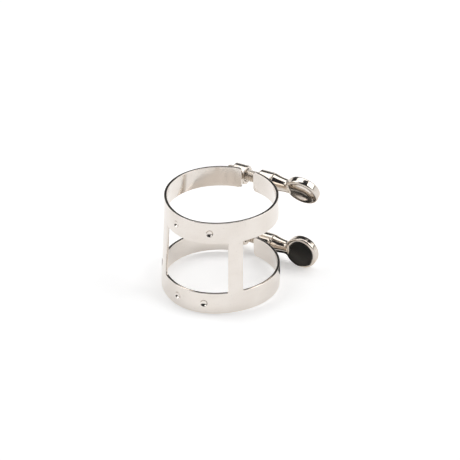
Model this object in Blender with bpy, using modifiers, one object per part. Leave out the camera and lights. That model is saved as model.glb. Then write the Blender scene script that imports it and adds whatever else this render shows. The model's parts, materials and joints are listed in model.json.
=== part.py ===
"""Saxophone ligature: a sprung sheet-metal band, four brazed posts and two thumb screws.

Run it with blender --background --python part.py, or from Blender's text editor. Lengths are in
metres. The ring axis is vertical. The reed side faces -Y, and an angle round the ring is in
degrees, zero at the reed side and positive towards +X, where the thumb screws' heads are.
"""

import math

import bmesh
import bpy
from mathutils import Vector

MM = 0.001

# The sheet band: its outer face is a cone that stands out a little over the flat reed.
BAND_HEIGHT = 22.6 * MM
UPPER_WIDTH = 5.0 * MM
LOWER_WIDTH = 5.1 * MM
SHEET = 0.6 * MM
RADIUS_TOP = 12.65 * MM
RADIUS_BOTTOM = 13.52 * MM
REED_BULGE = 1.0 * MM
REED_BULGE_ANGLE = 34.4
BAR_INNER_ANGLE = 35.7
BAR_OUTER_ANGLE = 50.5
BAND_END_ANGLE = 173.0
SEAM = 0.3 * MM
COLUMN_ANGLE = 3.0

# The four dimples that press on the reed.
DIMPLE_ANGLES = {"upper": 18.0, "lower": 13.6}
DIMPLE_RADIUS = 0.8 * MM
DENT_DEPTH = 0.38 * MM
PIP_HEIGHT = 0.35 * MM

# The posts: a barrel round the screw, on a foot that is brazed to the band.
BARREL_RADIUS = 2.2 * MM
BARREL_RISE = 2.6 * MM
BARREL_INNER_X = 1.6 * MM
BARREL_OUTER_X = 5.0 * MM
BARREL_EDGE = 0.25 * MM
FOOT_WIDTH = 3.3 * MM
FOOT_ROOT_ANGLE = 32.0
BRAZE = 0.1 * MM
PLAIN_HOLE_RADIUS = 1.5 * MM
THREADED_HOLE_RADIUS = 1.42 * MM

# The thumb screws.
SHAFT_RADIUS = 1.34 * MM
SHAFT_TIP_X = -6.9 * MM
TIP_CHAMFER = 0.4 * MM
SHOULDER_GAP = 0.12 * MM
SHOULDER_RADIUS = 2.12 * MM
SHOULDER_EDGE = 0.15 * MM
NECK_RADIUS = 1.54 * MM
NECK_X = 8.8 * MM
STEM_END_X = 9.35 * MM
STEM_END_RADIUS = 0.924 * MM
STEM_END_BULGE = 0.1 * MM
FLARE_STEPS = 6
HEAD_X = 12.5 * MM
HEAD_RADIUS = 3.95 * MM
HEAD_THICKNESS = 2.0 * MM
HEAD_WEB = 1.1 * MM
RIM_WIDTH = 0.6 * MM
RIM_ROUNDING = 0.35 * MM
DISH_STEPS = 5
RIM_STEPS = 4
HEAD_TURNS = {"upper": -63.0, "lower": -85.0}
LEVELS = {"upper": BAND_HEIGHT - 3.3 * MM, "lower": 2.7 * MM}

NICKEL = (0.80, 0.77, 0.74)
POLISHED_NICKEL = (0.62, 0.59, 0.55)

SIDES = {"right": 1, "left": -1}


def band_radius(angle, height):
    cone = RADIUS_BOTTOM + (RADIUS_TOP - RADIUS_BOTTOM) * height / BAND_HEIGHT
    return cone + REED_BULGE * math.exp(-((angle / REED_BULGE_ANGLE) ** 2))


def band_point(angle, height, depth=0.0):
    """A point of the band, depth under its outer face."""
    radius = band_radius(angle, height) - depth
    turn = math.radians(angle)
    return Vector((radius * math.sin(turn), -radius * math.cos(turn), height))


def axis_y(level):
    """How far behind the ring axis a thumb screw's axis lies."""
    return band_radius(180.0, LEVELS[level]) + BARREL_RISE


def axis_offset():
    """Where the ring axis and the band's lower edge lie when the object's box is centred on zero."""
    turn = math.radians(HEAD_TURNS["lower"])
    flat_radius = (HEAD_RADIUS - RIM_ROUNDING) * abs(math.sin(turn))
    flat_thickness = (HEAD_THICKNESS / 2 - RIM_ROUNDING) * abs(math.cos(turn))
    head_low = LEVELS["lower"] - flat_radius - flat_thickness - RIM_ROUNDING
    centre_x = (HEAD_X + HEAD_RADIUS - RADIUS_BOTTOM) / 2
    centre_y = (axis_y("lower") + BARREL_RADIUS - RADIUS_BOTTOM - REED_BULGE) / 2
    return Vector((-centre_x, -centre_y, -head_low))


def clear_scene():
    for obj in list(bpy.data.objects):
        bpy.data.objects.remove(obj)


def new_collection(name, drawn=True):
    collection = bpy.data.collections.new(name)
    collection.hide_render = not drawn
    bpy.context.scene.collection.children.link(collection)
    return collection


def metal(name, colour, roughness):
    material = bpy.data.materials.new(name)
    material.use_nodes = True
    shader = material.node_tree.nodes["Principled BSDF"]
    shader.inputs["Base Color"].default_value = (*colour, 1.0)
    shader.inputs["Metallic"].default_value = 1.0
    shader.inputs["Roughness"].default_value = roughness
    return material


def file_object(obj, name, collection, parent):
    """Names an object, moves it into one collection and hangs it on its parent."""
    obj.name = name
    obj.data.name = name
    for holder in list(obj.users_collection):
        holder.objects.unlink(obj)
    collection.objects.link(obj)
    obj.parent = parent
    if collection.hide_render:
        obj.hide_render = True
        obj.display_type = "WIRE"
    return obj


def add_boolean(obj, other, operation):
    modifier = obj.modifiers.new(f"{operation.lower()} {other.name}", "BOOLEAN")
    modifier.operation = operation
    modifier.solver = "EXACT"
    modifier.object = other


def cut_across(sheet, axis, places):
    """Cuts the flat blank across at each place along x (0) or y (1)."""
    normal = (1, 0, 0) if axis == 0 else (0, 1, 0)
    for place in sorted(places):
        everything = sheet.verts[:] + sheet.edges[:] + sheet.faces[:]
        point = [place * part for part in normal]
        bmesh.ops.bisect_plane(sheet, geom=everything, plane_co=point, plane_no=normal)


def remove_window(sheet, angles, heights):
    gone = []
    for face in sheet.faces:
        middle = face.calc_center_median()
        if angles[0] < middle.x < angles[1] and heights[0] < middle.y < heights[1]:
            gone.append(face)
    bmesh.ops.delete(sheet, geom=gone, context="FACES")


def add_thickness(sheet):
    """Makes the flat blank a slab whose second face lies one sheet thickness down."""
    extruded = bmesh.ops.extrude_face_region(sheet, geom=sheet.faces[:])["geom"]
    for vert in extruded:
        if isinstance(vert, bmesh.types.BMVert):
            vert.co.z = -SHEET
    bmesh.ops.recalc_face_normals(sheet, faces=sheet.faces[:])


def bent_sheet(name, angles, heights, windows, collection, parent):
    """A flat blank, x in degrees and y in metres, thickened and then bent round the ring."""
    sheet = bmesh.new()
    columns = round((angles[1] - angles[0]) / COLUMN_ANGLE)
    bmesh.ops.create_grid(sheet, x_segments=columns, y_segments=1, size=0.5)
    for vert in sheet.verts:
        vert.co.x = angles[0] + (vert.co.x + 0.5) * (angles[1] - angles[0])
        vert.co.y = heights[0] + (vert.co.y + 0.5) * (heights[1] - heights[0])
    window_sides = {angle for window, gap in windows for angle in window}
    window_edges = {height for window, gap in windows for height in gap}
    cut_across(sheet, 0, [angle for angle in window_sides if angles[0] < angle < angles[1]])
    cut_across(sheet, 1, window_edges)
    for window, gap in windows:
        remove_window(sheet, window, gap)
    add_thickness(sheet)
    for vert in sheet.verts:
        vert.co = band_point(vert.co.x, vert.co.y, -vert.co.z)
    mesh = bpy.data.meshes.new(name)
    sheet.to_mesh(mesh)
    sheet.free()
    return file_object(bpy.data.objects.new(name, mesh), name, collection, parent)


def add_dimple(band, name, angle, height, cutters, parent):
    """A pip on the inner face and a dent in the outer face, behind each other."""
    turn = math.radians(angle)
    pip_top = SHEET + PIP_HEIGHT
    bpy.ops.mesh.primitive_cone_add(
        vertices=24,
        radius1=DIMPLE_RADIUS,
        radius2=DIMPLE_RADIUS / 2,
        depth=pip_top - SHEET / 2,
        location=band_point(angle, height, (pip_top + SHEET / 2) / 2),
        rotation=(-math.pi / 2, 0, turn),
    )
    pip = file_object(bpy.context.object, f"{name}_pip", cutters, parent)
    add_boolean(band, pip, "UNION")
    bpy.ops.mesh.primitive_uv_sphere_add(
        segments=24,
        ring_count=12,
        radius=DIMPLE_RADIUS,
        location=band_point(angle, height, DENT_DEPTH - DIMPLE_RADIUS),
    )
    dent = file_object(bpy.context.object, f"{name}_dent", cutters, parent)
    add_boolean(band, dent, "DIFFERENCE")


def front_frame(parts, cutters, parent):
    """The H-shaped front: both bands' reed side, joined by a bar on each side of the reed."""
    seam_angle = math.degrees(SEAM / 2 / RADIUS_TOP)
    edge = 90.0 - seam_angle
    gap = (LOWER_WIDTH, BAND_HEIGHT - UPPER_WIDTH)
    windows = [
        ((-edge - 1, -BAR_OUTER_ANGLE), gap),
        ((-BAR_INNER_ANGLE, BAR_INNER_ANGLE), gap),
        ((BAR_OUTER_ANGLE, edge + 1), gap),
    ]
    frame = bent_sheet("front_frame", (-edge, edge), (0.0, BAND_HEIGHT), windows, parts, parent)
    heights = {"upper": BAND_HEIGHT - UPPER_WIDTH / 2, "lower": LOWER_WIDTH / 2}
    for level, angle in DIMPLE_ANGLES.items():
        for side, sign in SIDES.items():
            add_dimple(frame, f"{level}_{side}_dimple", sign * angle, heights[level], cutters, parent)
    frame.data.materials.append(metal("front_frame", NICKEL, 0.3))


def rear_band(level, side, parts, parent):
    """One rear quarter of a ring, from the side of the ring to its post."""
    start = 90.0 + math.degrees(SEAM / 2 / RADIUS_TOP)
    angles = (start, BAND_END_ANGLE) if side == "right" else (-BAND_END_ANGLE, -start)
    upper = (BAND_HEIGHT - UPPER_WIDTH, BAND_HEIGHT)
    heights = upper if level == "upper" else (0.0, LOWER_WIDTH)
    name = f"{level}_band_{side}"
    band = bent_sheet(name, angles, heights, [], parts, parent)
    band.data.materials.append(metal(name, NICKEL, 0.3))


def ring_cutter(cutters, parent):
    """The space the band takes, one brazing gap larger than its outer face."""
    bpy.ops.mesh.primitive_cone_add(
        vertices=240,
        radius1=RADIUS_BOTTOM + BRAZE,
        radius2=RADIUS_TOP + BRAZE,
        depth=BAND_HEIGHT,
        location=(0, 0, BAND_HEIGHT / 2),
    )
    return file_object(bpy.context.object, "ring_space", cutters, parent)


def along_x(radius, start, end, level, vertices=48):
    """A cylinder on a thumb screw's axis."""
    bpy.ops.mesh.primitive_cylinder_add(
        vertices=vertices,
        radius=radius,
        depth=abs(end - start),
        location=((start + end) / 2, axis_y(level), LEVELS[level]),
        rotation=(0, math.pi / 2, 0),
    )
    return bpy.context.object


def post(level, side, ring_space, parts, cutters, parent):
    """A barrel with its foot. The right one has a plain hole and the left one the threaded hole."""
    name = f"{level}_post_{side}"
    sign = SIDES[side]
    inner, outer = sign * BARREL_INNER_X, sign * BARREL_OUTER_X
    barrel = file_object(along_x(BARREL_RADIUS, inner, outer, level), name, parts, parent)
    bevel = barrel.modifiers.new("barrel edges", "BEVEL")
    bevel.width = BARREL_EDGE
    bevel.segments = 2
    foot_depth = axis_y(level) - RADIUS_TOP * math.cos(math.radians(FOOT_ROOT_ANGLE))
    bpy.ops.mesh.primitive_cube_add(
        size=1,
        location=((inner + outer) / 2, axis_y(level) - foot_depth / 2, LEVELS[level]),
        scale=(abs(outer - inner) - 2 * BARREL_EDGE, foot_depth, FOOT_WIDTH),
    )
    foot = file_object(bpy.context.object, f"{name}_foot", cutters, parent)
    radius = PLAIN_HOLE_RADIUS if side == "right" else THREADED_HOLE_RADIUS
    hole = along_x(radius, inner - sign * MM, outer + sign * MM, level)
    file_object(hole, f"{name}_hole", cutters, parent)
    add_boolean(barrel, foot, "UNION")
    add_boolean(barrel, hole, "DIFFERENCE")
    add_boolean(barrel, ring_space, "DIFFERENCE")
    barrel.data.materials.append(metal(name, POLISHED_NICKEL, 0.22))


def turned(name, outline, steps, collection, parent):
    """Revolves an outline of (radius, height) points, top to bottom, about the object's own Z."""
    mesh = bpy.data.meshes.new(name)
    edges = [(i, i + 1) for i in range(len(outline) - 1)]
    mesh.from_pydata([(radius, 0, height) for radius, height in outline], edges, [])
    obj = file_object(bpy.data.objects.new(name, mesh), name, collection, parent)
    screw = obj.modifiers.new("turned", "SCREW")
    screw.steps = screw.render_steps = steps
    screw.use_merge_vertices = True
    screw.merge_threshold = 0.00001
    return obj


def stem_outline():
    """The screw from its end inside the head, down the stem and shaft to the tip."""
    foot_x = BARREL_OUTER_X + SHOULDER_GAP
    end_edge = (STEM_END_RADIUS, STEM_END_X - STEM_END_BULGE)
    outline = [(0.0, STEM_END_X), end_edge, (NECK_RADIUS, NECK_X)]
    for step in range(1, FLARE_STEPS):
        rise = 1 - step / FLARE_STEPS
        radius = NECK_RADIUS + (SHOULDER_RADIUS - NECK_RADIUS) * (1 - rise) ** 2
        outline.append((radius, foot_x + (NECK_X - foot_x) * rise))
    outline += [
        (SHOULDER_RADIUS, foot_x + SHOULDER_EDGE),
        (SHOULDER_RADIUS, foot_x),
        (SHAFT_RADIUS, foot_x),
        (SHAFT_RADIUS, SHAFT_TIP_X + TIP_CHAMFER),
        (SHAFT_RADIUS - TIP_CHAMFER, SHAFT_TIP_X),
        (0.0, SHAFT_TIP_X),
    ]
    return outline


def head_outline():
    """The round head with both faces dished inside a rounded rim."""
    dish_edge = HEAD_RADIUS - RIM_WIDTH
    upper = []
    for step in range(DISH_STEPS + 1):
        out = step / DISH_STEPS
        depth = (HEAD_THICKNESS - HEAD_WEB) / 2 * (1 - out**2)
        upper.append((dish_edge * out, HEAD_THICKNESS / 2 - depth))
    for step in range(RIM_STEPS + 1):
        turn = math.radians(90 - 90 * step / RIM_STEPS)
        radius = HEAD_RADIUS - RIM_ROUNDING + RIM_ROUNDING * math.cos(turn)
        height = HEAD_THICKNESS / 2 - RIM_ROUNDING + RIM_ROUNDING * math.sin(turn)
        upper.append((radius, height))
    lower = [(radius, -height) for radius, height in reversed(upper)]
    return upper + lower


def thumb_screw(level, parts, cutters, parent):
    """The screw turns about its own Z, which lies along +X. Its head is a disc edge on to the stem."""
    name = f"{level}_thumb_screw"
    screw = turned(name, stem_outline(), 48, parts, parent)
    screw.location = (0, axis_y(level), LEVELS[level])
    screw.rotation_mode = "ZYX"
    screw.rotation_euler = (0, math.pi / 2, math.radians(HEAD_TURNS[level]))
    head = turned(f"{name}_head", head_outline(), 72, cutters, screw)
    head.location = (0, 0, HEAD_X)
    head.rotation_euler = (0, math.pi / 2, 0)
    add_boolean(screw, head, "UNION")
    screw.data.materials.append(metal(name, POLISHED_NICKEL, 0.12))


def main():
    clear_scene()
    parts = new_collection("saxophone_ligature")
    cutters = new_collection("cutters", drawn=False)
    ring_axis = bpy.data.objects.new("ring_axis", None)
    ring_axis.location = axis_offset()
    parts.objects.link(ring_axis)
    front_frame(parts, cutters, ring_axis)
    ring_space = ring_cutter(cutters, ring_axis)
    for level in LEVELS:
        for side in SIDES:
            rear_band(level, side, parts, ring_axis)
            post(level, side, ring_space, parts, cutters, ring_axis)
        thumb_screw(level, parts, cutters, ring_axis)


main()
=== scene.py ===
"""Saxophone ligature: the finished surfaces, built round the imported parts.

Lengths are in metres. The ring axis is vertical. The reed side faces -Y, and an angle round the ring
is zero at the reed side and positive towards +X, where the thumb screws' heads are.
"""

import json
import math

import bmesh
import bpy
import numpy as np
from mathutils import Matrix, Vector


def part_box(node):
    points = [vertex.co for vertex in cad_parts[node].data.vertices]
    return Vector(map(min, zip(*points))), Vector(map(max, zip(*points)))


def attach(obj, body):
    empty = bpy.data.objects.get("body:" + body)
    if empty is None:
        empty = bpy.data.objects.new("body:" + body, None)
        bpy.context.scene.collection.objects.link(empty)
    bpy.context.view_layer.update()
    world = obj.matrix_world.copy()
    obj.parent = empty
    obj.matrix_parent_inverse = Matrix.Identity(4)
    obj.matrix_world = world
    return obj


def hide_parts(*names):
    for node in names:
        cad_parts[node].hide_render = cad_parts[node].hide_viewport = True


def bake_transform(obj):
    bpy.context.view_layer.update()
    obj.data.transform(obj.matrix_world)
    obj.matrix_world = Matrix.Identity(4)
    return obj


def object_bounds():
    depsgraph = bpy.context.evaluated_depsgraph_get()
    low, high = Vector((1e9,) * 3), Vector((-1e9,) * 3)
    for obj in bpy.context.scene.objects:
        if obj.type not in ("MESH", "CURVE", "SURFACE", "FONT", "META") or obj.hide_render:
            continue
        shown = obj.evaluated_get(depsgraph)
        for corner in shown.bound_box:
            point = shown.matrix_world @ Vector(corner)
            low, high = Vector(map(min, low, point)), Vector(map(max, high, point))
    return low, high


MM = 0.001
TINY = 0.001 * MM
SIDES = {"right": 1, "left": -1}
LEVELS = ("upper", "lower")

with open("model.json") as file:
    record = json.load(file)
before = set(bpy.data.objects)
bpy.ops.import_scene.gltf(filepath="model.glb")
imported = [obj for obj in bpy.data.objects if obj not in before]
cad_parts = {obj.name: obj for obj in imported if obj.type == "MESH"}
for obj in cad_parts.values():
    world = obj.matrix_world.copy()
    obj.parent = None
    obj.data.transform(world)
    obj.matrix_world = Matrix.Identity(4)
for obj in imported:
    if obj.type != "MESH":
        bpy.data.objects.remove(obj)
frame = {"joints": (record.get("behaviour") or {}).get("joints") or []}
CAD_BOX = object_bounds()
JOINTS = {joint["name"]: joint for joint in frame["joints"]}
FRONT_LOW, FRONT_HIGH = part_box("front_frame")

# The sheet band: its outer face is a cone that stands out a little over the flat reed.
BAND_HEIGHT = FRONT_HIGH.z - FRONT_LOW.z
UPPER_WIDTH = 5.0 * MM
LOWER_WIDTH = 5.1 * MM
SHEET = 0.6 * MM
RADIUS_TOP = 12.65 * MM
RADIUS_BOTTOM = 13.52 * MM
REED_BULGE = 1.0 * MM
REED_BULGE_ANGLE = math.radians(34.4)
BAR_INNER_ANGLE = math.radians(35.7)
BAR_OUTER_ANGLE = math.radians(50.5)
SEAM_ANGLE = math.radians(90)
BAND_END_ANGLE = math.radians(173)
AXIS = Vector(((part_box("lower_band_left")[0].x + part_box("lower_band_right")[1].x) / 2,
               FRONT_LOW.y + RADIUS_BOTTOM + REED_BULGE, FRONT_LOW.z))

# How the sheet is cut: the flat blank is measured along a circle of this radius.
BLANK_RADIUS = 13.1 * MM
RULER_SAMPLES = 600
SPARE_LINE = 0.01
COARSE = 0.24 * MM
FINE = 0.085 * MM
CORNER_FINE = 0.05 * MM
END_FINE = 0.12 * MM
WINDOW_FILLET = 0.25 * MM
END_FILLET = 0.9 * MM
EDGE_ROUNDING = 0.085 * MM
SEAM_STRIP = 0.02 * MM
SHEET_CREASE = math.radians(50)
FLAT_FACE_WEIGHT = 80
WALL_TILT = 0.5
BAR_INNER = BAR_INNER_ANGLE * BLANK_RADIUS
BAR_OUTER = BAR_OUTER_ANGLE * BLANK_RADIUS
SEAM = SEAM_ANGLE * BLANK_RADIUS
BAND_END = BAND_END_ANGLE * BLANK_RADIUS
WINDOW_LOW = LOWER_WIDTH
WINDOW_HIGH = BAND_HEIGHT - UPPER_WIDTH

# The four dimples that press on the reed: a dent outside and a pip inside.
DIMPLE_ANGLES = {"upper": math.radians(18.0), "lower": math.radians(13.6)}
DIMPLE_HEIGHTS = {"upper": BAND_HEIGHT - UPPER_WIDTH / 2, "lower": LOWER_WIDTH / 2}
DENT_RADIUS = 0.8 * MM
DENT_DEPTH = 0.5 * MM
PIP_RADIUS = 0.95 * MM
PIP_HEIGHT = 0.35 * MM
RIM_SOFTNESS = 0.09 * MM
DIMPLE_REACH = 1.1 * MM

# The posts: a barrel round the screw, on a foot that is brazed to the band.
BARREL_RADIUS = 2.2 * MM
BARREL_ROUNDING = 0.3 * MM
FOOT_INSET = 0.25 * MM
FOOT_WIDTH = 3.3 * MM
FOOT_ROUNDING = 0.35 * MM
BRAZE_FILLET = 0.6 * MM
BRAZE_REACH = 0.75 * MM
BRAZE_DEPTH = 0.35 * MM
BRAZE_SKIN = 0.02 * MM
BRAZE_LINE = 0.55 * MM
HOLE_RADIUS = {"right": 1.5 * MM, "left": 1.42 * MM}
COUNTERSINK = 0.3 * MM
HOLE_ROUNDING = 0.08 * MM
POST_CELL = 0.1 * MM
POST_MARGIN = Vector((0.9, 0.9, 0.9)) * MM

# The thumb screws.
SHAFT_RADIUS = 1.34 * MM
THREAD_PITCH = 0.5 * MM
THREAD_DEPTH = 0.26 * MM
CREST_GAIN = 1.35
CREST_SHIFT = 0.15
THREAD_END_X = 4.2 * MM
THREAD_RUNOUT = 0.8 * MM
TIP_CHAMFER = 0.4 * MM
SHAFT_OVERLAP = 0.8 * MM
SHAFT_SIDES = 56
THREAD_SAMPLES = 12
SHOULDER_GAP = 0.12 * MM
SHOULDER_RADIUS = 2.12 * MM
SHOULDER_EDGE = 0.15 * MM
SHOULDER_ROUNDING = 0.12 * MM
NECK_RADIUS = 1.54 * MM
NECK_X = 8.8 * MM
STEM_END_X = 9.35 * MM
HEAD_RADIUS = 3.95 * MM
HEAD_THICKNESS = 2.0 * MM
DISH_DEPTH = 0.45 * MM
DISH_RADIUS = 3.35 * MM
DISH_ROUNDING = 0.22 * MM
RIM_ROUNDING = 0.55 * MM
NECK_BLEND = 0.4 * MM
HEAD_LEAN = {"upper": math.radians(-27), "lower": math.radians(-5)}
SCREW_CELL = 0.1 * MM
SCREW_MARGIN = 0.35 * MM
SHOULDER_MARGIN = 0.4 * MM
SCREW_CREASE = math.radians(42)

# How the curved bodies are meshed.
SLOPE_STEP = 0.002 * MM
LEAST_SLOPE = 0.05
LEAST_LENGTH = 1e-9
SMOOTHING_ROUNDS = 3
SMOOTHING_SHARE = 0.5

# Metals, and how deep their polishing lines and specks are.
BAND_NICKEL = (0.79, 0.74, 0.69)
BAND_NICKEL_DULL = (0.75, 0.695, 0.64)
PIT_METAL = (0.50, 0.46, 0.42)
PIT_SHARE = 0.35
POLISHED_NICKEL = (0.68, 0.63, 0.575)
POLISHED_NICKEL_WARM = (0.62, 0.52, 0.41)
TARNISH_SHARE = 0.8
BRAZE_METAL = (0.60, 0.57, 0.53)
BRAZE_SHARE = 0.7
BRAZE_DULLING = 0.14
SHAFT_DULLING = 0.14
BAND_BUMP = 0.006 * MM
POST_BUMP = 0.008 * MM
SCREW_BUMP = 0.006 * MM

# The view and the studio.
VIEW_TURN = math.radians(28.8)
VIEW_RISE = math.radians(29.8)
CAMERA_DISTANCE = 400 * MM
CAMERA_LENS = 141.65
CAMERA_ROLL = math.radians(0.57)
AIM_RIGHT = 1.94 * MM
AIM_DOWN = 8.09 * MM
FLOOR_SIZE = 6.0
FLOOR_DROP = 0.02 * MM
FLOOR_WHITE = (0.86, 0.86, 0.86)
FLOOR_GLOW = 0.36
# A black sheet on the floor between ring and lower head: a painted dark reflection that only the metal's
# shine shows.
REFLECTION_SHEET_RADII = (13.8 * MM, 19.5 * MM)
REFLECTION_SHEET_TURNS = (134.0, 164.0)
REFLECTION_SHEET_STEPS = 24
REFLECTION_SHEET_RISE = 0.03 * MM
PAINTED_REFLECTION_BLACK = (0.010, 0.014, 0.018)
LIGHT_DISTANCE = 0.7

# The sky's shade at each height, from the horizon at 0 to overhead at 1.
SKY = ((0.0, (1.05, 1.05, 1.05)), (0.20, (1.0, 1.0, 1.0)),
       (0.34, (0.05, 0.05, 0.05)), (1.0, (0.03, 0.03, 0.035)))


def soft_min(a, b, reach):
    """The smaller of two distances, blended where they are closer than reach."""
    near = np.maximum(reach - np.abs(a - b), 0.0) / reach
    return np.minimum(a, b) - near * near * reach / 4


def soft_max(a, b, reach):
    return -soft_min(-a, -b, reach)


def smooth_step(value):
    value = np.clip(value, 0.0, 1.0)
    return value * value * (3 - 2 * value)


# --- mesh helpers ---------------------------------------------------------------------------------


def mesh_object(name, mesh, location=(0, 0, 0)):
    obj = bpy.data.objects.new(name, mesh)
    obj.location = location
    bpy.context.scene.collection.objects.link(obj)
    return obj


def baked(rough, name):
    """Gives an object the mesh that its modifiers make."""
    graph = bpy.context.evaluated_depsgraph_get()
    made = bpy.data.meshes.new_from_object(rough.evaluated_get(graph))
    rough.modifiers.clear()
    rough.data = made
    made.name = name
    return made


def slope_of(distance, points):
    """The gradient of a distance function, by central differences."""
    slope = np.empty_like(points)
    for axis in range(3):
        shift = np.zeros(3)
        shift[axis] = SLOPE_STEP
        slope[:, axis] = (distance(points + shift) - distance(points - shift)) / (2 * SLOPE_STEP)
    return slope


def settled(points, distance):
    """The points moved onto the surface where the distance is zero."""
    slope = slope_of(distance, points)
    steepness = np.maximum((slope * slope).sum(axis=1), LEAST_SLOPE)
    return points - slope * (distance(points) / steepness)[:, None]


def relaxed(points, quads, distance):
    """Each point moved part of the way to its neighbours' middle, but only along the surface."""
    ends = np.concatenate([quads[:, [i, (i + 1) % 4]] for i in range(4)])
    total = np.zeros_like(points)
    count = np.zeros(len(points))
    np.add.at(total, ends[:, 0], points[ends[:, 1]])
    np.add.at(count, ends[:, 0], 1)
    pull = (total / count[:, None] - points) * SMOOTHING_SHARE
    normal = slope_of(distance, points)
    normal /= np.maximum(np.linalg.norm(normal, axis=1), LEAST_LENGTH)[:, None]
    return points + pull - normal * (pull * normal).sum(axis=1)[:, None]


def net_cells(inside):
    """Numbers the grid cells that the surface passes through."""
    counts = inside.astype(int)
    for axis in range(3):
        high = np.arange(1, counts.shape[axis])
        counts = np.take(counts, high - 1, axis) + np.take(counts, high, axis)
    crossed = (counts > 0) & (counts < 8)
    number = np.full(crossed.shape, -1)
    number[crossed] = np.arange(crossed.sum())
    return number


def crossings(grid, values, cell, axis):
    """Where the surface cuts the grid's lines along one axis, and if it faces the same way as the line."""
    high = np.arange(1, values.shape[axis])
    first, second = np.take(values, high - 1, axis), np.take(values, high, axis)
    starts = np.argwhere((first < 0) != (second < 0))
    index = tuple(starts.T)
    first, second = first[index], second[index]
    points = grid[index]
    points[:, axis] += cell * first / (first - second)
    return starts, points, first < 0


def surface_net(distance, low, high, cell):
    """Points and quads of the closed surface where the distance is zero."""
    counts = [int(math.ceil((high[i] - low[i]) / cell)) + 1 for i in range(3)]
    axes = [low[i] + cell * np.arange(counts[i]) for i in range(3)]
    grid = np.stack(np.meshgrid(*axes, indexing="ij"), axis=-1)
    values = distance(grid.reshape(-1, 3)).reshape(counts)
    number = net_cells(values < 0)
    total = np.zeros((number.max() + 1, 3))
    count = np.zeros(number.max() + 1)
    quads = []
    for axis in range(3):
        starts, points, outward = crossings(grid, values, cell, axis)
        one, other = np.roll(np.eye(3, dtype=int), -axis, axis=0)[1:]
        ring = [number[tuple((starts - shift).T)] for shift in (0 * one, one, one + other, other)]
        for cells in ring:
            np.add.at(total, cells, points)
            np.add.at(count, cells, 1)
        quad = np.stack(ring, axis=1)
        quads.append(np.where(outward[:, None], quad, quad[:, ::-1]))
    return total / count[:, None], np.concatenate(quads)


def surface_mesh(name, distance, low, high, cell):
    """A smooth closed mesh of the surface where the distance is zero."""
    points, quads = surface_net(distance, low, high, cell)
    for _ in range(SMOOTHING_ROUNDS):
        points = settled(points, distance)
        points = relaxed(points, quads, distance)
    for _ in range(SMOOTHING_ROUNDS):
        points = settled(points, distance)
    mesh = bpy.data.meshes.new(name)
    mesh.from_pydata(points.tolist(), [], quads.tolist())
    mesh.validate()
    mesh.shade_smooth()
    return mesh


# --- the band -------------------------------------------------------------------------------------


def places(stops, fine):
    """Grid lines through every stop, coarse, or closer in the fine (low, high, spacing) stretches."""
    found = [stops[0]]
    for low, high in zip(stops, stops[1:]):
        samples = np.linspace(low, high, RULER_SAMPLES)
        spacing = np.full(samples.shape, COARSE)
        for start, end, close in fine:
            spacing[(samples >= start) & (samples <= end)] = close
        crossed = np.concatenate([[0.0], np.cumsum(np.diff(samples) / spacing[1:])])
        count = max(1, math.ceil(crossed[-1] - SPARE_LINE))
        even = np.arange(1, count + 1) * crossed[-1] / count
        found.extend(np.interp(even, crossed, samples))
    return found


def flat_blank(columns, rows, windows):
    """The flat blank with its windows left open."""
    sheet = bmesh.new()
    grid = [[sheet.verts.new((x, y, 0.0)) for y in rows] for x in columns]
    for i in range(len(columns) - 1):
        middle_x = (columns[i] + columns[i + 1]) / 2
        for j in range(len(rows) - 1):
            middle_y = (rows[j] + rows[j + 1]) / 2
            if any(a < middle_x < b and c < middle_y < d for a, b, c, d in windows):
                continue
            sheet.faces.new((grid[i][j], grid[i + 1][j], grid[i + 1][j + 1], grid[i][j + 1]))
    loose = [vert for vert in sheet.verts if not vert.link_faces]
    bmesh.ops.delete(sheet, geom=loose, context="VERTS")
    return sheet


def fillet_window(sheet, window, limits):
    """Rounds a window's corners by moving its edges' points onto an arc."""
    left, right, low, high = window
    corners = [(x, y, into_x, into_y) for x, into_x in ((left, 1), (right, -1))
               for y, into_y in ((low, 1), (high, -1)) if limits[0] < x < limits[1]]
    for vert in sheet.verts:
        for x, y, into_x, into_y in corners:
            across = (vert.co.x - x) * into_x
            along = (vert.co.y - y) * into_y
            on_side = abs(across) < TINY and -TINY < along < WINDOW_FILLET
            on_end = abs(along) < TINY and -TINY < across < WINDOW_FILLET
            if not (on_side or on_end):
                continue
            share = max(along, across, 0.0) / WINDOW_FILLET
            turn = math.pi / 4 * (1 - share)
            near = WINDOW_FILLET * (1 - math.cos(turn))
            far = WINDOW_FILLET * (1 - math.sin(turn))
            vert.co.x = x + into_x * (near if on_side else far)
            vert.co.y = y + into_y * (far if on_side else near)
            break


def round_end(sheet, end_x, inward, heights):
    """Rounds the two corners at one end of a flat strip."""
    for vert in sheet.verts:
        for corner_y, up in ((heights[0], 1), (heights[1], -1)):
            u = END_FILLET - (vert.co.x - end_x) * inward
            v = END_FILLET - (vert.co.y - corner_y) * up
            if u <= 0 or v <= 0:
                continue
            scale = max(u, v) / math.hypot(u, v)
            vert.co.x = end_x + inward * (END_FILLET - u * scale)
            vert.co.y = corner_y + up * (END_FILLET - v * scale)
            break


def thicken(sheet):
    """Makes the blank a slab whose second face lies one sheet thickness down."""
    for item in bmesh.ops.extrude_face_region(sheet, geom=sheet.faces[:])["geom"]:
        if isinstance(item, bmesh.types.BMVert):
            item.co.z = -SHEET
    bmesh.ops.recalc_face_normals(sheet, faces=sheet.faces[:])


def round_edges(sheet, seams):
    """Rounds every edge of the slab but those where it meets its neighbour."""
    chosen = []
    for edge in sheet.edges:
        walls = [face for face in edge.link_faces if abs(face.normal.z) < WALL_TILT]
        if len(walls) != 1:
            continue
        place = walls[0].calc_center_median().x
        if any(abs(place - seam) < TINY for seam in seams):
            continue
        chosen.append(edge)
    bmesh.ops.bevel(sheet, geom=chosen, offset=EDGE_ROUNDING, offset_type="OFFSET", segments=3,
                    profile=0.5, affect="EDGES", clamp_overlap=True)


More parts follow.
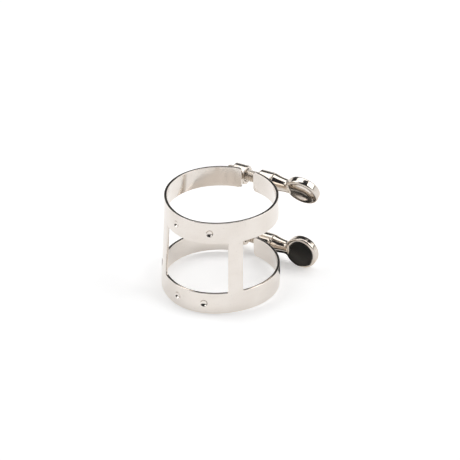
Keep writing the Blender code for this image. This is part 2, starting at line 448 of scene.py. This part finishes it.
def press(distance, radius, depth):
    """How deep a punch leaves the sheet, with a softly rolled rim."""
    bowl = depth * (1 - (distance / radius) ** 3)
    return np.where(bowl < -RIM_SOFTNESS, 0.0, soft_max(bowl, np.zeros_like(bowl), RIM_SOFTNESS))


def dimple_depth(along, height, share):
    """How far the dimples push the sheet in, from its outer face, share 0, to its inner face, share 1."""
    pressed = np.zeros(len(along))
    for level, place in DIMPLE_ANGLES.items():
        for sign in SIDES.values():
            away = np.hypot(along - sign * place * BLANK_RADIUS, height - DIMPLE_HEIGHTS[level])
            pressed += (1 - share) * press(away, DENT_RADIUS, DENT_DEPTH)
            pressed += share * press(away, PIP_RADIUS, PIP_HEIGHT)
    return pressed


def bent_mesh(name, sheet):
    """Wraps the flat slab round the ring and presses the dimples into it."""
    mesh = bpy.data.meshes.new(name)
    sheet.to_mesh(mesh)
    sheet.free()
    points = np.empty(len(mesh.vertices) * 3)
    mesh.vertices.foreach_get("co", points)
    along, height, up = points.reshape(-1, 3).T
    angle = along / BLANK_RADIUS
    cone = RADIUS_BOTTOM + (RADIUS_TOP - RADIUS_BOTTOM) * height / BAND_HEIGHT
    radius = cone + REED_BULGE * np.exp(-((angle / REED_BULGE_ANGLE) ** 2)) + up
    radius -= dimple_depth(along, height, -up / SHEET)
    bent = np.stack([AXIS.x + radius * np.sin(angle), AXIS.y - radius * np.cos(angle),
                     AXIS.z + height], axis=1)
    mesh.vertices.foreach_set("co", bent.ravel())
    mesh.update()
    return mesh


def finish_sheet(name, mesh):
    """Smooth shading that keeps the wide faces flat, baked into the mesh."""
    mesh.shade_smooth()
    mesh.set_sharp_from_angle(angle=SHEET_CREASE)
    rough = mesh_object(name, mesh)
    weighted = rough.modifiers.new("wide faces stay flat", "WEIGHTED_NORMAL")
    weighted.keep_sharp = True
    weighted.weight = FLAT_FACE_WEIGHT
    baked(rough, name)
    return rough


def front_columns():
    """Grid lines across the front, closer at the windows' corners and at the dimples."""
    fine = []
    for sign in SIDES.values():
        for start, end in ((BAR_INNER - WINDOW_FILLET, BAR_INNER), (BAR_OUTER, BAR_OUTER + WINDOW_FILLET)):
            fine.append((*sorted((sign * start, sign * end)), CORNER_FINE))
        for angle in DIMPLE_ANGLES.values():
            middle = sign * angle * BLANK_RADIUS
            fine.append((middle - DIMPLE_REACH, middle + DIMPLE_REACH, FINE))
    right = [BAR_INNER, BAR_OUTER, SEAM - SEAM_STRIP, SEAM]
    return places([-stop for stop in right[::-1]] + right, fine)


def front_rows():
    """Grid lines along the front, closer at the windows' corners and at the dimples."""
    fine = [(middle - DIMPLE_REACH, middle + DIMPLE_REACH, FINE) for middle in DIMPLE_HEIGHTS.values()]
    fine.append((WINDOW_LOW, WINDOW_LOW + WINDOW_FILLET, CORNER_FINE))
    fine.append((WINDOW_HIGH - WINDOW_FILLET, WINDOW_HIGH, CORNER_FINE))
    return places([0.0, WINDOW_LOW, WINDOW_HIGH, BAND_HEIGHT], fine)


def front_sheet():
    """The H-shaped front: both bands' reed side, joined by a bar on each side of the reed."""
    spans = ((-2 * SEAM, -BAR_OUTER), (-BAR_INNER, BAR_INNER), (BAR_OUTER, 2 * SEAM))
    windows = [(left, right, WINDOW_LOW, WINDOW_HIGH) for left, right in spans]
    sheet = flat_blank(front_columns(), front_rows(), windows)
    for window in windows:
        fillet_window(sheet, window, (-SEAM, SEAM))
    thicken(sheet)
    round_edges(sheet, (-SEAM, SEAM))
    return finish_sheet("front_sheet", bent_mesh("front_sheet", sheet))


def band_heights(level):
    """The lowest and highest point of a ring, above the band's lower edge."""
    return (WINDOW_HIGH, BAND_HEIGHT) if level == "upper" else (0.0, WINDOW_LOW)


def rear_sheet(level, side):
    """One rear quarter of a ring, from the side of the ring to the end past its post."""
    sign = SIDES[side]
    seam, end = sign * SEAM, sign * BAND_END
    low, high = band_heights(level)
    stops = sorted([seam, seam + sign * SEAM_STRIP, end])
    fine_columns = [(*sorted((end, end - sign * END_FILLET)), END_FINE)]
    fine_rows = [(low, low + END_FILLET, END_FINE), (high - END_FILLET, high, END_FINE)]
    sheet = flat_blank(places(stops, fine_columns), places((low, high), fine_rows), [])
    round_end(sheet, end, -sign, (low, high))
    thicken(sheet)
    round_edges(sheet, (seam,))
    name = f"{level}_rear_sheet_{side}"
    return finish_sheet(name, bent_mesh(name, sheet))


# --- the posts ------------------------------------------------------------------------------------


def screw_origin(level):
    """The point of a thumb screw's axis behind the ring axis."""
    place = JOINTS[f"{level}_screw_turn"]["pos_m"]
    return Vector((AXIS.x, place[1], place[2]))


def ring_distance(points, origin):
    """How far points, measured from origin, lie outside the band's outer face."""
    height = points[:, 2] + origin.z - AXIS.z
    cone = RADIUS_BOTTOM + (RADIUS_TOP - RADIUS_BOTTOM) * height / BAND_HEIGHT
    return np.hypot(points[:, 0], points[:, 1] + origin.y - AXIS.y) - cone


def post_distance(level, side):
    origin = screw_origin(level)
    band_low, band_high = (height + AXIS.z - origin.z for height in band_heights(level))
    low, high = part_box(f"{level}_post_{side}")
    sign = SIDES[side]
    inner, outer = sorted(((low.x - AXIS.x) * sign, (high.x - AXIS.x) * sign))
    middle, half = (inner + outer) / 2, (outer - inner) / 2

    def distance(points):
        along = points[:, 0] * sign
        from_axis = np.hypot(points[:, 1], points[:, 2])
        ends = np.abs(along - middle) - half
        barrel = soft_max(from_axis - BARREL_RADIUS, ends, BARREL_ROUNDING)
        foot = soft_max(ends + FOOT_INSET, np.abs(points[:, 2]) - FOOT_WIDTH / 2, FOOT_ROUNDING)
        foot = np.maximum(foot, points[:, 1])
        body = soft_min(barrel, foot, FOOT_ROUNDING)
        ring = ring_distance(points, origin)
        solid = soft_min(body, ring + BRAZE_SKIN, BRAZE_FILLET)
        solid = np.maximum(solid, body - BRAZE_REACH)
        under_band = np.minimum(points[:, 2] - band_low, band_high - points[:, 2])
        solid = np.maximum(solid, -ring - BRAZE_DEPTH * smooth_step(under_band / BRAZE_DEPTH))
        solid = soft_max(solid, inner - along, HOLE_ROUNDING)
        flare = np.maximum(COUNTERSINK + ends, 0.0)
        hole = from_axis - HOLE_RADIUS[side] - flare
        return soft_max(solid, -hole, HOLE_ROUNDING)

    return distance


def post(level, side):
    origin = screw_origin(level)
    node_low, node_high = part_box(f"{level}_post_{side}")
    name = f"{level}_post_body_{side}"
    distance = post_distance(level, side)
    low, high = node_low - origin - POST_MARGIN, node_high - origin + POST_MARGIN
    mesh = surface_mesh(name, distance, low, high, POST_CELL)
    points = np.empty(len(mesh.vertices) * 3)
    mesh.vertices.foreach_get("co", points)
    away = ring_distance(points.reshape(-1, 3), origin)
    braze = mesh.attributes.new("braze", "FLOAT", "POINT")
    braze.data.foreach_set("value", 1 - smooth_step(away / BRAZE_LINE))
    return mesh_object(name, mesh, origin)


# --- the thumb screws -----------------------------------------------------------------------------


def stem_radius(x, foot_x):
    """The stem flares from the neck to the shoulder that bears on the post."""
    rise = np.clip((x - foot_x - SHOULDER_EDGE) / (NECK_X - foot_x - SHOULDER_EDGE), 0.0, 1.0)
    return NECK_RADIUS + (SHOULDER_RADIUS - NECK_RADIUS) * (1 - rise) ** 2


def head_distance(points, head_x, lean):
    """A disc edge on to the stem, both faces dished inside a rounded rim."""
    normal = np.array([0.0, -math.cos(lean), math.sin(lean)])
    from_middle = points - np.array([head_x, 0.0, 0.0])
    height = from_middle @ normal
    from_axis = np.sqrt(np.maximum((from_middle ** 2).sum(axis=1) - height ** 2, 0.0))
    top = np.abs(height) - HEAD_THICKNESS / 2
    dish = top + DISH_DEPTH * (1 - (from_axis / DISH_RADIUS) ** 2)
    faces = soft_max(top, dish, DISH_ROUNDING)
    return soft_max(faces, from_axis - HEAD_RADIUS, RIM_ROUNDING)


def grip_distance(level, foot_x, head_x):
    """The stem and the head, without the threaded shaft."""

    def distance(points):
        x = points[:, 0]
        from_axis = np.hypot(points[:, 1], points[:, 2])
        stem = soft_max(from_axis - stem_radius(x, foot_x), foot_x - x, SHOULDER_ROUNDING)
        stem = soft_max(stem, x - STEM_END_X, SHOULDER_ROUNDING)
        head = head_distance(points, head_x, HEAD_LEAN[level])
        return soft_min(stem, head, NECK_BLEND)

    return distance


def thread_radius(x, turn, tip_x):
    """The shaft's radius, with a right-handed thread that runs out into the plain shank."""
    phase = 2 * math.pi * x / THREAD_PITCH - turn
    crest = np.clip((1 - np.cos(phase)) / 2 * CREST_GAIN - CREST_SHIFT, 0.0, 1.0)
    cut = 1 - smooth_step((x - THREAD_END_X + THREAD_RUNOUT) / THREAD_RUNOUT)
    threaded = SHAFT_RADIUS - THREAD_DEPTH * (1 - crest) * cut
    return np.minimum(threaded, SHAFT_RADIUS - TIP_CHAMFER + (x - tip_x))


def shaft_mesh(name, tip_x, end_x):
    """The closed threaded shaft, as rings of points along its axis."""
    turns = np.arange(SHAFT_SIDES) * 2 * math.pi / SHAFT_SIDES
    rings = np.linspace(tip_x, end_x, round((end_x - tip_x) / THREAD_PITCH * THREAD_SAMPLES))
    x, turn = np.meshgrid(rings, turns, indexing="ij")
    radius = thread_radius(x, turn, tip_x)
    points = np.stack([x, radius * np.cos(turn), radius * np.sin(turn)], axis=-1).reshape(-1, 3)
    index = np.arange(len(points)).reshape(x.shape)
    across = np.roll(index, -1, axis=1)
    quads = np.stack([across[:-1], across[1:], index[1:], index[:-1]], axis=-1).reshape(-1, 4)
    caps = [index[0][::-1].tolist(), index[-1].tolist()]
    mesh = bpy.data.meshes.new(name)
    mesh.from_pydata(points.tolist(), [], quads.tolist() + caps)
    mesh.validate()
    return mesh


def united(body, other):
    """Makes two closed bodies one mesh, and takes the second away."""
    union = body.modifiers.new("one body", "BOOLEAN")
    union.operation = "UNION"
    union.solver = "MANIFOLD"
    union.object = other
    made = baked(body, body.name)
    bpy.data.objects.remove(other)
    made.materials.clear()
    made.polygons.foreach_set("material_index", np.zeros(len(made.polygons), np.int32))
    return made


def thumb_screw(level):
    origin = screw_origin(level)
    node_low, node_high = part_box(f"{level}_thumb_screw")
    foot_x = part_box(f"{level}_post_right")[1].x - AXIS.x + SHOULDER_GAP
    head_x = node_high.x - AXIS.x - HEAD_RADIUS
    tip_x = node_low.x - AXIS.x
    name = f"{level}_screw_body"
    reach = HEAD_RADIUS + SCREW_MARGIN
    low = Vector((foot_x - SHOULDER_MARGIN, -reach, -reach))
    high = Vector((head_x + reach, reach, reach))
    mesh = surface_mesh(name, grip_distance(level, foot_x, head_x), low, high, SCREW_CELL)
    screw = mesh_object(name, mesh, origin)
    shaft_name = f"{name}_shaft"
    shaft = mesh_object(shaft_name, shaft_mesh(shaft_name, tip_x, foot_x + SHAFT_OVERLAP), origin)
    made = united(screw, shaft)
    made.shade_smooth()
    made.set_sharp_from_angle(angle=SCREW_CREASE)
    return screw


# --- materials ------------------------------------------------------------------------------------


def feed(tree, socket, value):
    """An input takes a value, or another node's output."""
    if isinstance(value, bpy.types.NodeSocket):
        tree.links.new(value, socket)
    else:
        socket.default_value = value


def fill(tree, node, inputs):
    for name, value in inputs.items():
        feed(tree, node.inputs[name], value)


def put(tree, kind, inputs=None, **settings):
    """Adds a shader node, with its settings and inputs by name."""
    node = tree.nodes.new(kind)
    for name, value in settings.items():
        setattr(node, name, value)
    fill(tree, node, inputs or {})
    return node


def math_node(tree, operation, *values):
    node = put(tree, "ShaderNodeMath", operation=operation)
    for socket, value in zip(node.inputs, values):
        feed(tree, socket, value)
    return node.outputs[0]


def add(tree, first, second):
    return math_node(tree, "ADD", first, second)


def times(tree, first, second):
    return math_node(tree, "MULTIPLY", first, second)


def noise(tree, vector, scale, detail=2.0, roughness=0.5):
    inputs = {"Vector": vector, "Scale": scale, "Detail": detail, "Roughness": roughness}
    return put(tree, "ShaderNodeTexNoise", inputs).outputs["Fac"]


def ranged(tree, value, old, new=(0.0, 1.0)):
    """A value carried from its old range, and held within it, to a new one."""
    inputs = {"Value": value, "From Min": old[0], "From Max": old[1], "To Min": new[0], "To Max": new[1]}
    return put(tree, "ShaderNodeMapRange", inputs, clamp=True).outputs["Result"]


def mixed(tree, share, first, second):
    """A colour between two, by share."""
    node = put(tree, "ShaderNodeMix", data_type="RGBA")
    for socket, value in zip((node.inputs[0], node.inputs[6], node.inputs[7]), (share, first, second)):
        feed(tree, socket, (*value, 1.0) if isinstance(value, tuple) else value)
    return node.outputs[2]


def scaled(tree, vector, scale):
    inputs = {"Vector": vector, "Scale": scale}
    return put(tree, "ShaderNodeMapping", inputs).outputs["Vector"]


def new_material(name):
    """A new material, its node tree and its surface shader."""
    material = bpy.data.materials.new(name)
    material.use_nodes = True
    tree = material.node_tree
    return material, tree, tree.nodes["Principled BSDF"]


def new_metal(name):
    material, tree, shader = new_material(name)
    fill(tree, shader, {"Metallic": 1.0, "IOR": 1.5})
    return material, tree, shader


def round_the_ring(tree):
    """Millimetres along the band, across it and through it."""
    where = put(tree, "ShaderNodeTexCoord").outputs["Object"]
    from_axis = put(tree, "ShaderNodeVectorMath", {0: where, 1: tuple(AXIS)}, operation="SUBTRACT")
    parts = put(tree, "ShaderNodeSeparateXYZ", {"Vector": from_axis.outputs[0]}).outputs
    turn = math_node(tree, "ARCTAN2", parts["X"], times(tree, parts["Y"], -1.0))
    along = times(tree, turn, BLANK_RADIUS / MM)
    across = times(tree, parts["Z"], 1 / MM)
    flat = [math_node(tree, "POWER", parts[axis], 2.0) for axis in "XY"]
    through = times(tree, math_node(tree, "SQRT", add(tree, *flat)), 1 / MM)
    return put(tree, "ShaderNodeCombineXYZ", {"X": along, "Y": across, "Z": through}).outputs[0]


def in_millimetres(tree):
    where = put(tree, "ShaderNodeTexCoord").outputs["Object"]
    return put(tree, "ShaderNodeVectorMath", {0: where, "Scale": 1 / MM}, operation="SCALE").outputs[0]


def bumped(tree, height, strength, distance):
    inputs = {"Height": height, "Strength": strength, "Distance": distance}
    return put(tree, "ShaderNodeBump", inputs).outputs["Normal"]


def worn_edge(tree):
    """One along convex edges, where hands have polished the plating."""
    pointed = put(tree, "ShaderNodeNewGeometry").outputs["Pointiness"]
    return ranged(tree, pointed, (0.52, 0.6))


def band_material():
    """Satin nickel plate: fine polishing lines round the ring, faint specks and duller patches."""
    material, tree, shader = new_metal("band_nickel")
    place = round_the_ring(tree)
    patches = noise(tree, scaled(tree, place, (0.5, 0.7, 0.5)), scale=0.35, detail=3.0)
    lines = noise(tree, scaled(tree, place, (0.22, 9.0, 2.0)), scale=1.0, detail=4.0, roughness=0.62)
    specks = noise(tree, place, scale=6.5, detail=2.0, roughness=0.7)
    pits = ranged(tree, noise(tree, place, scale=3.1, detail=1.0), (0.70, 0.76))
    tone = mixed(tree, ranged(tree, patches, (0.35, 0.7)), BAND_NICKEL, BAND_NICKEL_DULL)
    tone = mixed(tree, times(tree, pits, PIT_SHARE), tone, PIT_METAL)
    rough = ranged(tree, lines, (0.3, 0.7), (0.09, 0.15))
    rough = add(tree, rough, ranged(tree, patches, (0.3, 0.7), (-0.02, 0.04)))
    rough = add(tree, rough, times(tree, worn_edge(tree), -0.06))
    height = add(tree, times(tree, lines, 0.6), times(tree, specks, 0.4))
    height = add(tree, height, times(tree, pits, -0.6))
    normal = bumped(tree, height, 0.25, BAND_BUMP)
    fill(tree, shader, {"Base Color": tone, "Roughness": rough, "Normal": normal})
    return material


def polished_layers(tree, rough_range, line_scale):
    """Bright nickel plate with hairlines, faint tarnish and smudges: its tone, roughness and height."""
    place = in_millimetres(tree)
    smudge = noise(tree, place, scale=0.55, detail=3.0, roughness=0.55)
    tarnish = noise(tree, scaled(tree, place, (1.0, 0.8, 1.2)), scale=0.3, detail=4.0, roughness=0.6)
    hair = noise(tree, scaled(tree, place, line_scale), scale=1.0, detail=4.0, roughness=0.65)
    specks = noise(tree, place, scale=9.0, detail=2.0, roughness=0.6)
    tarnished = ranged(tree, tarnish, (0.4, 0.75), (0.0, TARNISH_SHARE))
    tone = mixed(tree, tarnished, POLISHED_NICKEL, POLISHED_NICKEL_WARM)
    rough = ranged(tree, smudge, (0.35, 0.7), rough_range)
    rough = add(tree, rough, ranged(tree, hair, (0.35, 0.75), (0.0, 0.04)))
    height = add(tree, times(tree, hair, 0.5), times(tree, specks, 0.5))
    return tone, rough, height


def post_material():
    """Polished barrels whose brazed foot is left duller."""
    material, tree, shader = new_metal("post_nickel")
    tone, rough, height = polished_layers(tree, (0.13, 0.22), (1.5, 7.0, 7.0))
    braze = put(tree, "ShaderNodeAttribute", attribute_name="braze").outputs["Fac"]
    tone = mixed(tree, times(tree, braze, BRAZE_SHARE), tone, BRAZE_METAL)
    rough = add(tree, rough, times(tree, braze, BRAZE_DULLING))
    normal = bumped(tree, height, 0.25, POST_BUMP)
    fill(tree, shader, {"Base Color": tone, "Roughness": rough, "Normal": normal})
    return material


def screw_material():
    """Mirror-polished heads and a threaded shaft that is a little duller."""
    material, tree, shader = new_metal("screw_nickel")
    tone, rough, height = polished_layers(tree, (0.06, 0.13), (0.8, 6.0, 6.0))
    x = put(tree, "ShaderNodeSeparateXYZ", {"Vector": in_millimetres(tree)}).outputs["X"]
    shaft = ranged(tree, x, (4.4, 5.2), (1.0, 0.0))
    rough = add(tree, rough, times(tree, shaft, SHAFT_DULLING))
    normal = bumped(tree, height, 0.2, SCREW_BUMP)
    fill(tree, shader, {"Base Color": tone, "Roughness": rough, "Normal": normal})
    return material


# --- the studio -----------------------------------------------------------------------------------


def floor_frame():
    """A point of the floor and its upward normal: it touches the lower head and the ring's far edge."""
    head_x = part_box("lower_thumb_screw")[1].x - HEAD_RADIUS
    rest = Vector((head_x, screw_origin("lower").y, CAD_BOX[0].z))
    across = Vector((AXIS.x - rest.x, AXIS.y - rest.y, 0.0))
    slope = across.normalized() * (across.length + RADIUS_BOTTOM)
    slope.z = AXIS.z - rest.z
    level = Vector((-across.y, across.x, 0.0))
    up = slope.cross(level).normalized()
    return rest, up if up.z > 0 else -up


def floor():
    rest, up = floor_frame()
    mesh = bpy.data.meshes.new("floor")
    shape = bmesh.new()
    bmesh.ops.create_grid(shape, x_segments=1, y_segments=1, size=FLOOR_SIZE / 2)
    shape.to_mesh(mesh)
    shape.free()
    made = mesh_object("floor", mesh, rest - up * FLOOR_DROP)
    made.rotation_mode = "QUATERNION"
    made.rotation_quaternion = Vector((0, 0, 1)).rotation_difference(up)
    material, tree, shader = new_material("floor_white")
    fill(tree, shader, {"Base Color": (*FLOOR_WHITE, 1), "Roughness": 0.9, "Specular IOR Level": 0.1,
                        "Emission Color": (1, 1, 1, 1), "Emission Strength": FLOOR_GLOW})
    mesh.materials.append(material)


def painted_reflection_sheet():
    """A painted dark reflection: a black sheet on the floor between ring and lower head, hidden from the
    camera, diffuse light and shadows, so that only the shine on the metal shows it.
    """
    rest, up = floor_frame()
    corners = []
    for radius, turns in zip(REFLECTION_SHEET_RADII, (REFLECTION_SHEET_TURNS, REFLECTION_SHEET_TURNS[::-1])):
        for turn in np.radians(np.linspace(*turns, REFLECTION_SHEET_STEPS)):
            corner = AXIS + Vector((math.sin(turn), -math.cos(turn), 0.0)) * radius
            corners.append(corner - up * ((corner - rest).dot(up) - REFLECTION_SHEET_RISE))
    mesh = bpy.data.meshes.new("painted_reflection_sheet")
    mesh.from_pydata(corners, [], [list(range(len(corners)))])
    made = mesh_object("painted_reflection_sheet", mesh)
    material, tree, shader = new_material("painted_reflection_black")
    # Painted reflection: this black is seen only in the metal's shine, as a dark patch.
    fill(tree, shader, {"Base Color": (*PAINTED_REFLECTION_BLACK, 1), "Roughness": 0.6})
    mesh.materials.append(material)
    made.visible_camera = False
    made.visible_diffuse = False
    made.visible_shadow = False


def direction(turn, rise):
    """A unit vector away from the ring. Turn 0 is the -Y side and a quarter turn the +X side."""
    return Vector((math.sin(turn) * math.cos(rise), -math.cos(turn) * math.cos(rise), math.sin(rise)))


def softbox(name, azimuth, elevation, size, radiance):
    """A square light that faces the ring, at an azimuth and elevation in degrees."""
    light = bpy.data.lights.new(name, "AREA")
    light.shape = "RECTANGLE"
    light.size, light.size_y = size
    light.energy = radiance * math.pi * size[0] * size[1]
    made = bpy.data.objects.new(name, light)
    away = direction(math.radians(azimuth), math.radians(elevation))
    made.location = AXIS + away * LIGHT_DISTANCE
    made.rotation_mode = "QUATERNION"
    made.rotation_quaternion = away.to_track_quat("Z", "Y")
    bpy.context.scene.collection.objects.link(made)


def studio():
    """White at the horizon, darker overhead, with large soft lights."""
    world = bpy.data.worlds.new("studio")
    world.use_nodes = True
    tree = world.node_tree
    where = put(tree, "ShaderNodeTexCoord").outputs["Generated"]
    height = put(tree, "ShaderNodeSeparateXYZ", {"Vector": where}).outputs["Z"]
    ramp = put(tree, "ShaderNodeValToRGB", {"Fac": height})
    stops = ramp.color_ramp.elements
    stops.remove(stops[1])
    stops[0].color = (*SKY[0][1], 1)
    for position, shade in SKY[1:]:
        stop = stops.new(position)
        stop.color = (*shade, 1)
    fill(tree, tree.nodes["Background"], {"Color": ramp.outputs["Color"]})
    bpy.context.scene.world = world
    softbox("key", azimuth=118, elevation=42, size=(0.55, 0.5), radiance=2.3)
    softbox("left", azimuth=-70, elevation=45, size=(0.55, 0.5), radiance=2.0)
    softbox("back", azimuth=200, elevation=70, size=(0.6, 0.45), radiance=2.0)
    bpy.context.scene.view_settings.view_transform = "Standard"


def camera():
    data = bpy.data.cameras.new("camera")
    data.lens = CAMERA_LENS
    data.sensor_width = 36
    data.clip_start, data.clip_end = 0.01, 20
    made = bpy.data.objects.new("camera", data)
    bpy.context.scene.collection.objects.link(made)
    back = direction(VIEW_TURN, VIEW_RISE)
    right = Vector((math.cos(VIEW_TURN), math.sin(VIEW_TURN), 0.0))
    up = back.cross(right)
    top = AXIS + Vector((0, 0, BAND_HEIGHT))
    aim = top + right * AIM_RIGHT - up * AIM_DOWN
    made.location = top + back * CAMERA_DISTANCE
    turn = (made.location - aim).to_track_quat("Z", "Y").to_matrix()
    made.rotation_mode = "QUATERNION"
    made.rotation_quaternion = (turn @ Matrix.Rotation(CAMERA_ROLL, 3, "Z")).to_quaternion()
    bpy.context.scene.camera = made


# --- assembly -------------------------------------------------------------------------------------


def add_front(metal):
    front = front_sheet()
    front.data.materials.append(metal)
    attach(front, "front")
    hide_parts("front_frame")


def add_rear(level, side, metal):
    rear = rear_sheet(level, side)
    rear.data.materials.append(metal)
    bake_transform(rear)
    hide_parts(f"{level}_band_{side}")


def add_post(level, side, metal):
    body = post(level, side)
    body.data.materials.append(metal)
    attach(body, f"{level}_{side}_end")
    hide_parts(f"{level}_post_{side}")


def add_screw(level, metal):
    screw = thumb_screw(level)
    screw.data.materials.append(metal)
    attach(screw, f"{level}_screw")
    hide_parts(f"{level}_thumb_screw")


def main():
    camera()
    studio()
    floor()
    # Paints a dark reflection into the metal's shine with a black sheet that only reflections show.
    painted_reflection_sheet()
    band, barrel, bright = band_material(), post_material(), screw_material()
    add_front(band)
    for level in LEVELS:
        for side in SIDES:
            add_rear(level, side, band)
            add_post(level, side, barrel)
        add_screw(level, bright)


main()
